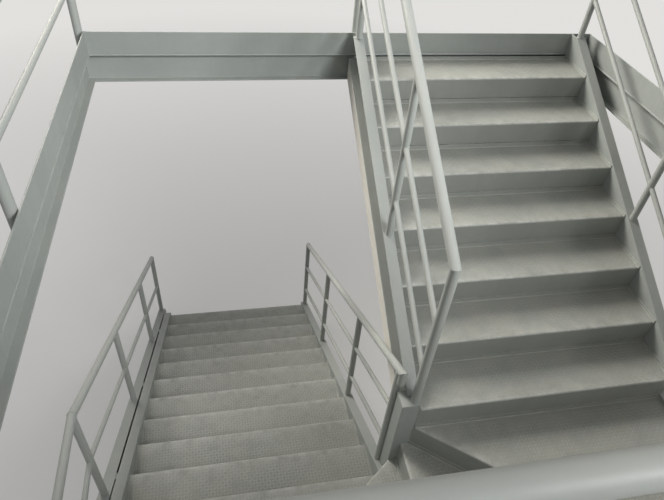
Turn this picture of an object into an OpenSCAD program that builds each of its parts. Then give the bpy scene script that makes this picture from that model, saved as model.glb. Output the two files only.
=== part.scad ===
// Half-turn steel stair with four winders, its well edge beams and tube guards.
// The origin is the middle of the footprint at ground level.
// The upper flight lies toward +X and climbs toward +Y. +Z is up. Millimetres.

/* [Flights] */
// Height of one step
rise = 170; // [165:1:175]
// Depth of one straight tread from nose to nose
going = 294; // [285:1:305]
// Clear tread width of the upper flight
up_w = 1531; // [1400:1:1650]
// Clear tread width of the lower flight
low_w = 1500; // [1400:1:1600]
// Depth of the turn from the last nose to the near channels
wind_d = 1210; // [1150:1:1350]
// Space between the first tread and the far fascia
nose_gap = 32; // [20:1:40]

/* [Treads] */
// Thickness of the folded tread plates
plate_t = 6; // [4:0.5:8]
// Open slot under each front lip, above the tread below
lip_slot = 30; // [26:1:45]
// Thickness of the turned-up rear and end edges
up_t = 5; // [3:0.5:6]
// Height of the turned-up rear edge
rear_up = 22; // [14:1:24]
// Height of the turned-up end edges
end_up = 16; // [10:1:22]

/* [Stringers] */
// Depth of the stringer channels, square to the pitch
str_d = 190; // [180:1:200]
// Flange width of the channels
fl_w = 66; // [62:1:70]
// Web thickness of the channels
web_t = 7; // [6:0.5:9]
// Flange thickness of the channels
fl_t = 10; // [8:0.5:12]
// Height of the stringer top above the nose line
str_up = 25; // [24:1:32]
// Depth of the level channels round the turn
lev_d = 220; // [210:1:240]

/* [Columns] */
// Side of the square newel column and corner columns
col_w = 100; // [96:1:104]
// Side of the base plates
base_w = 220; // [200:1:240]
// Thickness of the base plates
base_t = 12; // [10:1:20]
// Spacing of the base plate holes
base_pitch = 160; // [150:1:170]
// Diameter of the base plate holes
base_hole = 14; // [12:1:18]

/* [Edge beams] */
// Depth of the rolled beam under the fascia
beam_d = 180; // [170:1:200]
// Flange width of the rolled beam
beam_w = 91; // [88:1:96]
// Web thickness of the rolled beam
beam_web = 6; // [5:0.5:9]
// Flange thickness of the rolled beam
beam_fl = 8; // [7:0.5:11]
// Height of the fascia plate
fascia_h = 143; // [130:1:155]
// Thickness of the fascia plate
fascia_t = 8; // [6:0.5:10]
// How far the beam flange stands out past the fascia
ledge = 4.5; // [3:0.5:8]
// Space from the left stringer web to the left fascia
left_gap = 80; // [74:1:95]
// Space from the right stringer web to the right fascia
right_gap = 141; // [120:1:160]

/* [Rails] */
// Diameter of the handrails
rail_d = 44; // [42:1:48]
// Diameter of the newel tube and the well handrail of the upper flight
well_rail_d = 50; // [48:1:52]
// Diameter of the stair posts
post_d = 42; // [36:1:42]
// Diameter of the thin bars
bar_d = 30; // [22:1:34]
// Diameter of the floor guard posts
guard_post_d = 50; // [46:1:54]
// Handrail height above the nose line
rail_h = 950; // [935:5:965]
// Height of the well handrail above the nose line of the upper flight
well_rail_h = 1005; // [985:5:1025]
// Height of the upper bar above the nose line
bar_hi = 615; // [560:5:650]
// Height of the lower bar above the nose line
bar_lo = 275; // [220:5:320]
// Length of the turned-down rail end by the newel
stub_l = 78; // [60:1:90]
// Handrail height above the nose line on the kerb side
side_rail_h = 850; // [800:5:900]
// Height of the single bar on the kerb side
side_bar_h = 425; // [380:5:470]
// Drop from the handrail to the upper bar round the turn
turn_bar_hi = 340; // [300:5:390]
// Drop from the handrail to the lower bar round the turn
turn_bar_lo = 685; // [640:5:720]
// Handrail height of the floor guards above the floor
guard_h = 925; // [915:5:935]
// Height of the upper bar of the floor guards
guard_bar_hi = 585; // [540:5:640]
// Height of the lower bar of the floor guards
guard_bar_lo = 243; // [200:1:280]

/* [Post places] */
// From the well side of the far fascia to the top posts
top_post = 75; // [70:5:110]
// From the well side of the far fascia to the middle posts of the upper flight
upper_post = 1240; // [1150:10:1320]
// From the turn to the posts beside the winders
turn_post = 600; // [500:10:700]
// From the newel to the outer posts on the near side of the winders
near_post = 830; // [740:10:900]
// From the turn to the second well post of the lower flight
lower_post_2 = 886; // [800:2:960]
// From the turn to the third well post of the lower flight
lower_post_3 = 1885; // [1800:5:1980]
// From the turn to the second kerb post
kerb_post_2 = 1160; // [1060:10:1260]
// From the turn to the third kerb post
kerb_post_3 = 2230; // [2130:10:2330]
// From the newel to the middle post of the left floor guard
left_guard_post = 325; // [225:25:425]
// From the newel to the middle posts of the near floor guard
near_guard_post = 575; // [475:25:675]

/* [Kerb and lining] */
// Width of the kerb section
kerb_w = 71; // [66:1:76]
// Depth of the kerb section, square to the pitch
kerb_d = 100; // [80:1:120]
// Slot between the kerb and the stringer flange
kerb_slot = 8; // [6:0.5:9]
// From the turn to the first packer in the slot
packer_start = 250; // [150:10:350]
// Spacing of the packers in the slot
packer_pitch = 1100; // [1000:10:1150]
// Length of a packer
packer_l = 60; // [40:5:80]
// Depth of the lining under the upper flight, plumb
line_d = 134; // [110:1:140]
// Thickness of the lining boards
line_t = 18; // [15:1:22]

/* [Hidden] */
$fn = 48;
n_up = 7;
n_turn = 4;
n_low = 10;
height = rise * (n_up + n_turn + n_low + 1);
pitch = atan2(rise, going);
plumb = 1 / cos(pitch);
half = col_w / 2;
corner_d = rail_d + 2;
y_turn = -half;
y_first = y_turn + n_up * going;
y_far = y_first + nose_gap;
y_out = y_turn - wind_d;
up_in = half + web_t;
up_out = up_in + up_w;
low_in = -half - 34;
low_out = low_in - low_w;
off_c = beam_w / 2 - ledge;
xl_c = low_out - left_gap - off_c;
xr_c = up_out + right_gap + off_c;
yn_c = y_out - 60 - off_c;
yf_c = y_far + off_c;
z_fl = height - fascia_h;
z_w = [for (k = [0:n_turn]) height - (n_up + k) * rise];
z_cap = z_w[0] + 2 * str_up;
x_ui = up_in - fl_w / 2 + 3;
x_uo = up_out + fl_w / 2;
x_li = low_in + fl_w / 2;
x_k1 = low_out - fl_w - kerb_slot;
x_k0 = x_k1 - kerb_w;
x_k = (x_k0 + x_k1) / 2;
y_wb = y_out - 25.5;
y_bend = half + 50;
y_newel = -17;
y_foot = y_turn + n_low * going + 25;
y_end = y_turn + n_low * going + 180;
z_side = nose_low(y_bend) + side_rail_h;
z_side_bar = nose_low(y_bend) + side_bar_h;
x_mid = (xl_c + xr_c) / 2;
y_mid = (yn_c - base_w / 2 + y_end + 40) / 2;
paint = [0.55, 0.57, 0.56];
deck = [0.59, 0.60, 0.56];
tube = [0.66, 0.68, 0.65];
board = [0.90, 0.88, 0.83];

// Height of the line through the noses of each flight
function nose_up(y) = height - (y_first - y) * rise / going;
function nose_low(y) = z_w[n_turn] - (y - y_turn) * rise / going;

// Puts a piece, drawn from the newel column, in the frame of the whole stair
module placed() {
    translate([-x_mid, -y_mid, 0]) children();
}
// Plate square to X, from an outline in Y and Z
module yz_plate(x, t, pts) {
    translate([x, 0, 0])
        rotate([90, 0, 90])
            linear_extrude(height = t)
                polygon(pts);
}
// Plate square to Z, from an outline in X and Y
module flat_plate(z, t, pts) {
    translate([0, 0, z])
        linear_extrude(height = t)
            polygon(pts);
}
// Box from its lowest corner to its highest corner
module box(a, b) {
    translate(a)
        cube([b[0] - a[0], b[1] - a[1], b[2] - a[2]]);
}
// Corners of a strip of width t to the left of the line from a to b
function strip(a, b, t) =
    let (l = norm(b - a), n = [a[1] - b[1], b[0] - a[0]] / l)
    [a, b, b + n * t, a + n * t];

// Straight tread with its nose at y, facing -Y (front -1) or +Y (front 1)
module tread(x0, x1, y, z, front) {
    back = y - front * going;
    lip = y - front * plate_t;
    up = back + front * up_t;
    color(deck) union() {
        box([x0, min(y, back), z - plate_t], [x1, max(y, back), z]);
        box([x0, min(y, lip), z - rise + lip_slot], [x1, max(y, lip), z]);
        box([x0, min(back, up), z - plate_t], [x1, max(back, up), z + rear_up]);
        box([x0, min(y, back), z - plate_t], [x0 + up_t, max(y, back), z + end_up]);
        box([x1 - up_t, min(y, back), z - plate_t], [x1, max(y, back), z + end_up]);
    }
}
module upper_tread(k) {
    tread(up_in, up_out, y_first - k * going, height - k * rise, -1);
}
module lower_tread(k) {
    tread(low_out, low_in, y_turn + k * going, z_w[n_turn] - k * rise, 1);
}

// Winder tread: plan outline, nose line, rear line and outer edge, plate on their left
module winder(k, pts, nose, rear, edge) {
    z = z_w[k];
    color(deck) intersection() {
        union() {
            flat_plate(z - plate_t, plate_t, pts);
            flat_plate(z - rise + lip_slot, rise - lip_slot, strip(nose[0], nose[1], plate_t));
            flat_plate(z - plate_t, plate_t + rear_up, strip(rear[0], rear[1], up_t));
            flat_plate(z - plate_t, plate_t + end_up, strip(edge[0], edge[1], up_t));
        }
        flat_plate(z - rise, 2 * rise, pts);
    }
}
module winder_tread_1() {
    a = [half, y_turn];
    b = [up_out, y_out];
    c = [up_out, y_turn];
    winder(1, [a, b, c], [a, b], [c, [up_in, y_turn]], [b, c]);
}
module winder_tread_2() {
    a = [half, y_turn];
    b = [up_out, y_out];
    c = [0, y_out];
    d = [0, y_turn];
    winder(2, [d, c, b, a], [d, c], [b, a], [c, b]);
}
module winder_tread_3() {
    a = [-half, y_turn];
    b = [low_out, y_out];
    c = [0, y_out];
    d = [0, y_turn];
    winder(3, [a, b, c, d], [a, b], [c, d], [b, c]);
}
module winder_tread_4() {
    a = [-half, y_turn];
    b = [low_out, y_out];
    c = [low_out, y_turn];
    winder(4, [a, c, b], [[low_in, y_turn], c], [b, a], [c, b]);
}

// Outlines between two plumb heights from the nose line of each flight
function band_up(y0, y1, h0, h1) =
    [[y0, nose_up(y0) + h0], [y1, nose_up(y1) + h0], [y1, nose_up(y1) + h1], [y0, nose_up(y0) + h1]];
function band_low(y0, y1, h0, h1) =
    [[y0, nose_low(y0) + h0], [y1, nose_low(y1) + h0], [y1, nose_low(y1) + h1], [y0, nose_low(y0) + h1]];

// Channel of the upper flight: web at x, toes toward side, cut level at the floor
module upper_channel(x, side) {
    bot = str_up - str_d * plumb;
    f0 = min(x, x + side * fl_w);
    w0 = min(x, x + side * web_t);
    difference() {
        union() {
            yz_plate(w0, web_t, band_up(y_turn, y_far, bot, str_up));
            yz_plate(f0, fl_w, band_up(y_turn, y_far, str_up - fl_t * plumb, str_up));
            yz_plate(f0, fl_w, band_up(y_turn, y_far, bot, bot + fl_t * plumb));
        }
        box([f0 - 1, y_first - going, height], [f0 + fl_w + 1, y_far + 1, height + rise]);
        box([f0 - 1, y_far - ledge, height - rise * 3], [f0 + fl_w + 1, y_far + 1, z_fl]);
    }
}
// The well channel runs on over the newel cap as far as the foot of the newel tube
module upper_stringer_inner() {
    color(paint) difference() {
        upper_channel(up_in, -1);
        box([-half, -half - 1, 0], [half, half, z_cap]);
        box([-half, -half - 1, 0], [half, y_newel + well_rail_d / 2 + 2, height]);
    }
}
module upper_stringer_outer() {
    color(paint) upper_channel(up_out, 1);
}

// Channel of the lower flight with an end plate and a drilled foot plate
module lower_channel(x, side) {
    bot = str_up - str_d * plumb;
    f0 = min(x, x + side * fl_w);
    w0 = min(x, x + side * web_t);
    union() {
        difference() {
            union() {
                yz_plate(w0, web_t, band_low(y_turn, y_foot, bot, str_up));
                yz_plate(f0, fl_w, band_low(y_turn, y_foot, str_up - fl_t * plumb, str_up));
                yz_plate(f0, fl_w, band_low(y_turn, y_foot, bot, bot + fl_t * plumb));
            }
            box([f0 - 1, y_turn, -rise * 3], [f0 + fl_w + 1, y_foot + 1, base_t / 2]);
        }
        difference() {
            box([f0, y_foot - 160, 0], [f0 + fl_w, y_foot + 40, base_t]);
            for (dy = [-130, 20])
                translate([x + side * fl_w / 2, y_foot + dy, -1])
                    cylinder(h = base_t + 2, d = base_hole);
        }
        box([f0, y_foot - web_t, base_t / 2], [f0 + fl_w, y_foot, nose_low(y_foot) + str_up]);
    }
}
module lower_stringer_inner() {
    color(paint) difference() {
        lower_channel(low_in, 1);
        box([-half, -half - 1, -1], [half, half, height]);
    }
}
module lower_stringer_outer() {
    color(paint) lower_channel(low_out, -1);
}

// Level channel along Y: web at x, toes toward side
module level_channel_y(x, side, top) {
    f0 = min(x, x + side * fl_w);
    w0 = min(x, x + side * web_t);
    color(paint) union() {
        box([w0, y_out, top - lev_d], [w0 + web_t, y_turn, top]);
        box([f0, y_out, top - fl_t], [f0 + fl_w, y_turn, top]);
        box([f0, y_out, top - lev_d], [f0 + fl_w, y_turn, top - lev_d + fl_t]);
    }
}
// Level channel along X: web at y_out, toes toward -Y, end plate of the column at xe
module level_channel_x(x0, x1, xe, top) {
    color(paint) union() {
        box([x0, y_out - web_t, top - lev_d], [x1, y_out, top]);
        box([x0, y_out - fl_w, top - fl_t], [x1, y_out, top]);
        box([x0, y_out - fl_w, top - lev_d], [x1, y_out, top - lev_d + fl_t]);
        box([xe, y_out - fl_w - 60, top - lev_d], [xe + fl_t, y_out, top]);
    }
}
module winder_stringer_left() {
    level_channel_y(low_out, -1, z_w[4] + str_up);
}
module winder_stringer_near_left() {
    x0 = xl_c + half;
    level_channel_x(x0, 0, x0, z_w[3] + str_up);
}
module winder_stringer_near_right() {
    x1 = xr_c - half;
    level_channel_x(0, x1, x1 - fl_t, z_w[2] + str_up);
}
module winder_stringer_right() {
    level_channel_y(up_out, 1, z_w[1] + str_up);
}

// Square column on a base plate with four holes
module column(x, y, top) {
    color(paint) translate([x, y, 0]) difference() {
        union() {
            translate([-half, -half, 0])
                cube([col_w, col_w, top]);
            translate([-base_w / 2, -base_w / 2, 0])
                cube([base_w, base_w, base_t]);
        }
        for (i = [-1, 1], j = [-1, 1])
            translate([i * base_pitch / 2, j * base_pitch / 2, -1])
                cylinder(h = base_t + 2, d = base_hole);
    }
}
module newel_column() {
    column(0, 0, z_cap);
}
module corner_columns() {
    column(xl_c, yn_c, z_fl - beam_d);
    column(xr_c, yn_c, z_fl - beam_d);
}

// Kerb beside the lower flight: pitched run, level run, foot plate and packers
module side_kerb() {
    dv = kerb_d * plumb;
    top = z_w[4] + str_up;
    color(paint) union() {
        difference() {
            yz_plate(x_k0, kerb_w, band_low(y_turn, y_end, str_up - dv, str_up));
            box([x_k0 - 1, y_turn, -3 * rise], [x_k1 + 1, y_end + 1, base_t / 2]);
        }
        box([x_k0, yn_c + half, top - dv], [x_k1, y_turn, top]);
        difference() {
            box([x_k0, y_end - 160, 0], [x_k1, y_end + 40, base_t]);
            translate([x_k, y_end + 20, -1])
                cylinder(h = base_t + 2, d = base_hole);
        }
        for (k = [0:2]) {
            y = y_turn + packer_start + k * packer_pitch;
            yz_plate(x_k1, kerb_slot, band_low(y, y + packer_l, str_up - 45, str_up));
        }
        for (y = [y_out + 100, y_turn - 140 - packer_l])
            box([x_k1, y, top - 45], [x_k1 + kerb_slot, y + packer_l, top]);
    }
}

// Lining under the upper flight: side boards, and a bottom board turned up at its end
module soffit_sides() {
    top = str_up - str_d * plumb;
    y0 = half + 40;
    y1 = y_far - ledge;
    color(board)
        for (x = [up_in - fl_w, up_out + fl_w - line_t])
            yz_plate(x, line_t, band_up(y0, y1, top - line_d, top));
}
module soffit_board() {
    top = str_up - str_d * plumb;
    x0 = up_in - fl_w + line_t;
    x1 = up_out + fl_w - line_t;
    y0 = half + 40;
    y1 = y_far - ledge;
    color(board) union() {
        yz_plate(x0, x1 - x0, band_up(y0, y1, top - line_d, top - line_d + line_t * plumb));
        yz_plate(x0, x1 - x0, band_up(y0, y0 + line_t, top - line_d, top));
    }
}

// Rolled beam with a fascia plate on its top flange, mitred, well side toward -Y
module edge_beam(l) {
    b = beam_w / 2;
    color(paint) intersection() {
        union() {
            box([-b, -b, z_fl - beam_fl], [l + b, b, z_fl]);
            box([-b, -b, z_fl - beam_d], [l + b, b, z_fl - beam_d + beam_fl]);
            box([-b, -beam_web / 2, z_fl - beam_d], [l + b, beam_web / 2, z_fl]);
            box([-b, -off_c, z_fl - beam_fl], [l + b, fascia_t - off_c, height]);
        }
        flat_plate(0, height + 1, [[-b, b], [b, -b], [l - b, -b], [l + b, b]]);
    }
}
module edge_beam_far() {
    translate([xl_c, yf_c, 0]) edge_beam(xr_c - xl_c);
}
module edge_beam_left() {
    translate([xl_c, yn_c, 0]) rotate([0, 0, 90]) edge_beam(yf_c - yn_c);
}
module edge_beam_near() {
    translate([xr_c, yn_c, 0]) rotate([0, 0, 180]) edge_beam(xr_c - xl_c);
}
module edge_beam_right() {
    translate([xr_c, yf_c, 0]) rotate([0, 0, -90]) edge_beam(yf_c - yn_c);
}

// Unit direction, left turn and mitre direction at point i of a path
function dir(p, q) = (q - p) / norm(q - p);
function turn90(v) = [-v[1], v[0]];
function half_way(u, v) = (u + v) / norm(u + v);
function mitre(p, i) =
    i == 0 ? turn90(dir(p[0], p[1])) :
    i == len(p) - 1 ? turn90(dir(p[i - 1], p[i])) :
    half_way(turn90(dir(p[i - 1], p[i])), turn90(dir(p[i], p[i + 1])));

// Round tube along a path in the XY plane, cut to a mitre at each bend.
// Every second length is 1 mm thinner, as a slip inside the weld of its neighbour.
module mitred_tube(p, d) {
    for (i = [0:len(p) - 2]) {
        a = p[i];
        b = p[i + 1];
        m0 = mitre(p, i) * d;
        m1 = mitre(p, i + 1) * d;
        intersection() {
            translate([a[0], a[1], 0])
                rotate([0, 0, atan2(b[1] - a[1], b[0] - a[0])])
                    rotate([0, 90, 0])
                        translate([0, 0, -d])
                            cylinder(h = norm(b - a) + 2 * d, d = d - (i + 1) % 2);
            translate([0, 0, -d])
                linear_extrude(height = 2 * d)
                    polygon([a + m0, a - m0, b - m1, b + m1]);
        }
    }
}
// The same in the YZ plane at x, and in the XZ plane at y
module tube_yz(x, p, d) {
    translate([x, 0, 0]) rotate([90, 0, 90]) mitred_tube(p, d);
}
module tube_xz(y, p, d) {
    translate([0, y, 0]) rotate([90, 0, 0]) mitred_tube(p, d);
}
// Points over the nose line of each flight
function pu(y, h) = [y, nose_up(y) + h];
function pl(y, h) = [y, nose_low(y) + h];

// Plumb post on the sloped flange of each flight
module post_up(x, y, d, h) {
    intersection() {
        translate([x, y, nose_up(y) - rise])
            cylinder(h = h + rise, d = d);
        yz_plate(x - d, 2 * d, band_up(y - d, y + d, str_up, 2 * rail_h));
    }
}
module post_low(x, y, d, h) {
    intersection() {
        translate([x, y, nose_low(y) - rise])
            cylinder(h = h + rise, d = d);
        yz_plate(x - d, 2 * d, band_low(y - d, y + d, str_up, 2 * rail_h));
    }
}
// Plumb post between two heights
module post(x, y, d, z0, z1) {
    translate([x, y, z0])
        cylinder(h = z1 - z0, d = d);
}

module upper_balustrade_inner() {
    y_t = y_first - (well_rail_h - guard_h) * going / rise;
    y_p = y_far - top_post;
    z_g = height + guard_h;
    y_g = yf_c - guard_post_d / 2;
    color(tube) union() {
        tube_yz(x_ui, [[y_newel, z_cap], pu(y_newel, well_rail_h), pu(y_t, well_rail_h), [y_g, z_g]],
            well_rail_d);
        post_up(x_ui, y_far - upper_post, post_d, well_rail_h);
        post(x_ui, y_p, post_d, height, z_g);
        for (h = [bar_lo, bar_hi])
            tube_yz(x_ui, [pu(y_newel, h), pu(y_p, h)], bar_d);
    }
}
module upper_balustrade_outer() {
    y_t = y_far - 60;
    y_l = y_turn - going;
    y_c = y_wb;
    z_l = z_w[1];
    z_t = nose_up(y_t) + rail_h;
    color(tube) union() {
        tube_yz(x_uo, [[y_c, z_l + rail_h], pu(y_l, rail_h), pu(y_t, rail_h), [y_far - 10, z_t]], rail_d);
        post(x_uo, y_t, post_d, height, z_t);
        post_up(x_uo, y_far - upper_post, post_d, rail_h);
        post_up(x_uo, 5, post_d, rail_h);
        post(x_uo, y_turn - turn_post, post_d, z_l + str_up, z_l + rail_h);
        post(x_uo, y_c, corner_d, z_w[2] + str_up, z_l + rail_h + corner_d / 2);
        for (h = [bar_lo, bar_hi])
            tube_yz(x_uo, [[y_c, z_l + h], pu(y_l, h), pu(y_t, h)], bar_d);
    }
}
module lower_balustrade_inner() {
    y_e = half - 12;
    y_0 = y_foot - 60;
    color(tube) union() {
        intersection() {
            tube_yz(x_li, [pl(y_0, 0), pl(y_0, rail_h), pl(y_e, rail_h), pl(y_e, rail_h - stub_l)], rail_d);
            yz_plate(x_li - rail_d, 2 * rail_d, band_low(0, y_0 + rail_d, str_up, 2 * rail_h));
        }
        for (y = [half + 30, y_turn + lower_post_2, y_turn + lower_post_3])
            post_low(x_li, y, post_d, rail_h);
        for (h = [bar_lo, bar_hi])
            tube_yz(x_li, [pl(half + 30, h), pl(y_0, h)], bar_d);
    }
}
module lower_balustrade_outer() {
    y_d = y_end - 60;
    z_k = z_w[4] + str_up;
    color(tube) union() {
        intersection() {
            tube_yz(x_k, [pl(y_d, 0), pl(y_d, side_rail_h), [y_bend, z_side], [y_wb, z_side]], rail_d);
            yz_plate(x_k - rail_d, 2 * rail_d, band_low(y_wb, y_d + rail_d, str_up, 2 * height));
        }
        tube_yz(x_k, [pl(y_d, side_bar_h), [y_bend, z_side_bar], [y_wb, z_side_bar]], bar_d);
        for (y = [y_bend - 10, y_turn + kerb_post_2, y_turn + kerb_post_3])
            post_low(x_k, y, post_d, side_rail_h);
        post(x_k, y_turn - turn_post, post_d, z_k, z_side);
        post(x_k, y_wb, corner_d, z_k, z_side + corner_d / 2);
    }
}
module winder_balustrade() {
    z_r = z_w[1] + rail_h;
    slope = (z_r - z_side) / (x_uo - x_k);
    x_a = x_k + corner_d / 2;
    x_b = x_uo - corner_d / 2;
    x_l = x_k + 1;
    x_r = x_uo - 1;
    color(tube) intersection() {
        union() {
            for (h = [0, turn_bar_hi, turn_bar_lo])
                tube_xz(y_wb, [[x_l, z_side - h], [x_r, z_r - h]], h == 0 ? rail_d : bar_d);
            for (x = [-near_post, 40, near_post])
                post(x, y_wb, post_d, z_w[x < 0 ? 3 : 2] + str_up, z_r - slope * (x_uo - x));
        }
        box([x_a, y_wb - rail_d, 0], [x_b, y_wb + rail_d, height]);
    }
}

// Floor guard between two columns, along X or along Y, standing on the beam flange
module guard_bars_x(y, x0, x1) {
    tube_xz(y, [[x0, height + guard_h], [x1, height + guard_h]], rail_d);
    for (h = [guard_bar_lo, guard_bar_hi])
        tube_xz(y, [[x0, height + h], [x1, height + h]], bar_d + 3);
}
module guard_bars_y(x, y0, y1) {
    tube_yz(x, [[y0, height + guard_h], [y1, height + guard_h]], rail_d);
    for (h = [guard_bar_lo, guard_bar_hi])
        tube_yz(x, [[y0, height + h], [y1, height + h]], bar_d + 3);
}
module floor_guard_left() {
    color(tube) union() {
        guard_bars_y(xl_c, yn_c, yf_c);
        post(xl_c, yn_c, guard_post_d, z_fl, height + guard_h + guard_post_d / 2);
        post(xl_c, left_guard_post, guard_post_d, z_fl, height + guard_h);
        post(xl_c, yf_c, guard_post_d, z_fl, height + guard_h + guard_post_d / 2);
    }
}
module floor_guard_far() {
    color(tube) union() {
        guard_bars_x(yf_c, xl_c + guard_post_d / 2, x_ui);
        post(x_ui, yf_c, guard_post_d, z_fl, height + guard_h + guard_post_d / 2);
    }
}
module floor_guard_near() {
    color(tube) union() {
        guard_bars_x(yn_c, xl_c + guard_post_d / 2, xr_c);
        for (x = [-near_guard_post, near_guard_post])
            post(x, yn_c, guard_post_d, z_fl, height + guard_h);
        post(xr_c, yn_c, guard_post_d, z_fl, height + guard_h + guard_post_d / 2);
    }
}

placed() upper_tread(1);  // upper_tread_1
placed() upper_tread(2);  // upper_tread_2
placed() upper_tread(3);  // upper_tread_3
placed() upper_tread(4);  // upper_tread_4
placed() upper_tread(5);  // upper_tread_5
placed() upper_tread(6);  // upper_tread_6
placed() upper_tread(7);  // upper_tread_7
placed() winder_tread_1();
placed() winder_tread_2();
placed() winder_tread_3();
placed() winder_tread_4();
placed() lower_tread(1);  // lower_tread_1
placed() lower_tread(2);  // lower_tread_2
placed() lower_tread(3);  // lower_tread_3
placed() lower_tread(4);  // lower_tread_4
placed() lower_tread(5);  // lower_tread_5
placed() lower_tread(6);  // lower_tread_6
placed() lower_tread(7);  // lower_tread_7
placed() lower_tread(8);  // lower_tread_8
placed() lower_tread(9);  // lower_tread_9
placed() lower_tread(10);  // lower_tread_10
placed() upper_stringer_inner();
placed() upper_stringer_outer();
placed() lower_stringer_inner();
placed() lower_stringer_outer();
placed() winder_stringer_left();
placed() winder_stringer_near_left();
placed() winder_stringer_near_right();
placed() winder_stringer_right();
placed() newel_column();
placed() corner_columns();
placed() side_kerb();
placed() soffit_board();
placed() soffit_sides();
placed() edge_beam_far();
placed() edge_beam_left();
placed() edge_beam_near();
placed() edge_beam_right();
placed() upper_balustrade_inner();
placed() upper_balustrade_outer();
placed() lower_balustrade_inner();
placed() lower_balustrade_outer();
placed() winder_balustrade();
placed() floor_guard_left();
placed() floor_guard_far();
placed() floor_guard_near();
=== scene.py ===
import math
import bmesh
import bpy
from mathutils import Matrix, Vector


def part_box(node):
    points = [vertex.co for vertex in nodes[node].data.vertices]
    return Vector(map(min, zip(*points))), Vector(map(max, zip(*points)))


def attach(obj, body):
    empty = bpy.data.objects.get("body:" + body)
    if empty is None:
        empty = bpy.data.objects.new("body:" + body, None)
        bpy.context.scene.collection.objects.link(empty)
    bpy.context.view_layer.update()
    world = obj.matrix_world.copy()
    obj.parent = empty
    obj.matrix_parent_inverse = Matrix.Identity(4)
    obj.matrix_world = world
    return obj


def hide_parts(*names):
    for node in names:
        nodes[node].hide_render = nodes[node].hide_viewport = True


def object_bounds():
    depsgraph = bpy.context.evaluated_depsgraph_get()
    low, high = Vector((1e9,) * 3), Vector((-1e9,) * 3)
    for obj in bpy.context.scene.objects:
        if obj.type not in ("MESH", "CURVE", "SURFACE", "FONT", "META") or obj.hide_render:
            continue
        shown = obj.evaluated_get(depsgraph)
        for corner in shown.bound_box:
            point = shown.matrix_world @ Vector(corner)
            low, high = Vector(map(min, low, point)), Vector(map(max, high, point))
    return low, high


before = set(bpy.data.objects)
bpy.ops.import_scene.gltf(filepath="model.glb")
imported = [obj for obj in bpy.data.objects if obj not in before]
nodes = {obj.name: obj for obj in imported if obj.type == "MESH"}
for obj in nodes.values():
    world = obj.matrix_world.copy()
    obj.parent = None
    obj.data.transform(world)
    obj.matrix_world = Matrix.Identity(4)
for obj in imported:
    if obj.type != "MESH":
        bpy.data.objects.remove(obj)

solid_box = [list(corner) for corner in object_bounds()]

# Columns
# The newel and the two corner columns: 100 mm square hollow section, each welded to a
# 12 mm base plate, brush painted on site in grey enamel and held down by four anchor studs.
column_side, base_side, base_thick, anchor_pitch = 100, 220, 12, 160
newel_x, newel_y = [round(500 * (low + high), 1) for low, high in zip(*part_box("newel_column"))][:2]


def at(x, y, z):
    """A place measured in millimetres from the middle of the newel at ground level."""
    return Vector(((x + newel_x) / 1000, (y + newel_y) / 1000, z / 1000))


def extent(node):
    """The low and high corner of a node, in millimetres from the same point."""
    return [(round(x * 1000 - newel_x, 1), round(y * 1000 - newel_y, 1), round(z * 1000, 1))
            for x, y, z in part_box(node)]


def put(tree, kind, inputs=None, **settings):
    """Adds one node. An input given as another node, or as its socket, is linked to it."""
    made = tree.nodes.new(kind)
    for name, value in settings.items():
        setattr(made, name, value)
    for socket, value in (inputs or {}).items():
        if isinstance(value, bpy.types.Node):
            value = value.outputs[0]
        if isinstance(value, bpy.types.NodeSocket):
            tree.links.new(value, made.inputs[socket])
        else:
            made.inputs[socket].default_value = value
    return made


def span(tree, value, low, high, to_low=0.0, to_high=1.0):
    """Spreads a value between two limits, clamped."""
    inputs = {0: value, 1: low, 2: high, 3: to_low, 4: to_high}
    return put(tree, "ShaderNodeMapRange", inputs).outputs[0]


def reckon(tree, operation, value, *others):
    """Works values out one after the other, each with the result so far."""
    for other in others or (0.0,):
        value = put(tree, "ShaderNodeMath", {0: value, 1: other}, operation=operation).outputs[0]
    return value


def reckon_place(tree, operation, a, b):
    inputs = {0: a, "Scale" if operation == "SCALE" else 1: b}
    return put(tree, "ShaderNodeVectorMath", inputs, operation=operation).outputs[0]


def blend_colour(tree, share, a, b, mode="MIX"):
    inputs = {0: share, 6: a, 7: b}
    return put(tree, "ShaderNodeMix", inputs, data_type="RGBA", blend_type=mode).outputs[2]


def speckle(tree, place, scale, detail=3.0, rough=0.55):
    inputs = {"Vector": place, "Scale": scale, "Detail": detail, "Roughness": rough}
    return put(tree, "ShaderNodeTexNoise", inputs).outputs["Fac"]


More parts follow.
